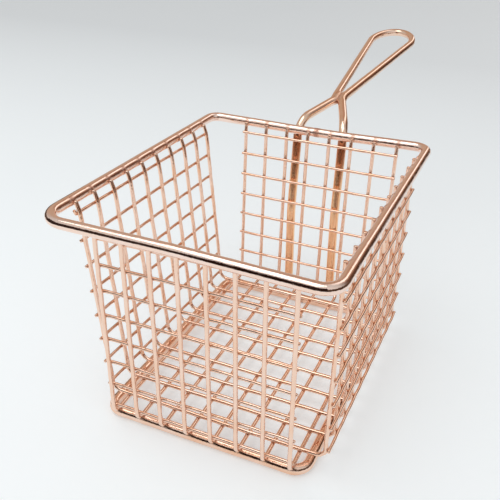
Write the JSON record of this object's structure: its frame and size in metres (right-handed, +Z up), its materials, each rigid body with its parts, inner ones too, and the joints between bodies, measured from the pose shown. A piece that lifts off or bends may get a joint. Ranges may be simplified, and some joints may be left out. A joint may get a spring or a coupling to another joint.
{
  "type": "wire serving basket",
  "caption": "Rectangular open-top basket of spot-welded copper-plated wire mesh, with a thick rim, a base ring and a fixed loop handle at the back.",
  "frame": {"origin": "bottom centre of the bounding box of the whole object, handle included; the base ring's underside is at Z = 0", "axes": "+Z up out of the basket's mouth, +Y from the basket towards the handle, X across"},
  "size_m": [0.1052, 0.2768, 0.1051],
  "materials": {
    "rim_copper": "polished rose-copper plating on steel wire",
    "ring_copper": "polished rose-copper plating on steel wire, slightly duller underneath",
    "mesh_copper": "bright rose-copper plating on thin steel wire",
    "cross_copper": "bright rose-copper plating on thin steel wire",
    "row_copper": "bright rose-copper plating on thin steel wire",
    "handle_copper": "polished rose-copper plating on steel wire"
  },
  "bodies": {
    "root": {"back_row_1": "row_copper", "back_row_2": "row_copper", "back_row_3": "row_copper", "back_row_4": "row_copper", "back_row_5": "row_copper", "back_row_6": "row_copper", "back_row_7": "row_copper", "back_row_8": "row_copper", "base_ring": "ring_copper", "crossways_wire_1": "cross_copper", "crossways_wire_10": "cross_copper", "crossways_wire_2": "cross_copper", "crossways_wire_3": "cross_copper", "crossways_wire_4": "cross_copper", "crossways_wire_5": "cross_copper", "crossways_wire_6": "cross_copper", "crossways_wire_7": "cross_copper", "crossways_wire_8": "cross_copper", "crossways_wire_9": "cross_copper", "front_row_1": "row_copper", "front_row_2": "row_copper", "front_row_3": "row_copper", "front_row_4": "row_copper", "front_row_5": "row_copper", "front_row_6": "row_copper", "front_row_7": "row_copper", "front_row_8": "row_copper", "handle": "handle_copper", "left_row_1": "row_copper", "left_row_2": "row_copper", "left_row_3": "row_copper", "left_row_4": "row_copper", "left_row_5": "row_copper", "left_row_6": "row_copper", "left_row_7": "row_copper", "left_row_8": "row_copper", "lengthways_wire_1": "mesh_copper", "lengthways_wire_2": "mesh_copper", "lengthways_wire_3": "mesh_copper", "lengthways_wire_4": "mesh_copper", "lengthways_wire_5": "mesh_copper", "lengthways_wire_6": "mesh_copper", "lengthways_wire_7": "mesh_copper", "lengthways_wire_8": "mesh_copper", "right_row_1": "row_copper", "right_row_2": "row_copper", "right_row_3": "row_copper", "right_row_4": "row_copper", "right_row_5": "row_copper", "right_row_6": "row_copper", "right_row_7": "row_copper", "right_row_8": "row_copper", "rim": "rim_copper"}
  },
  "joints": []
}
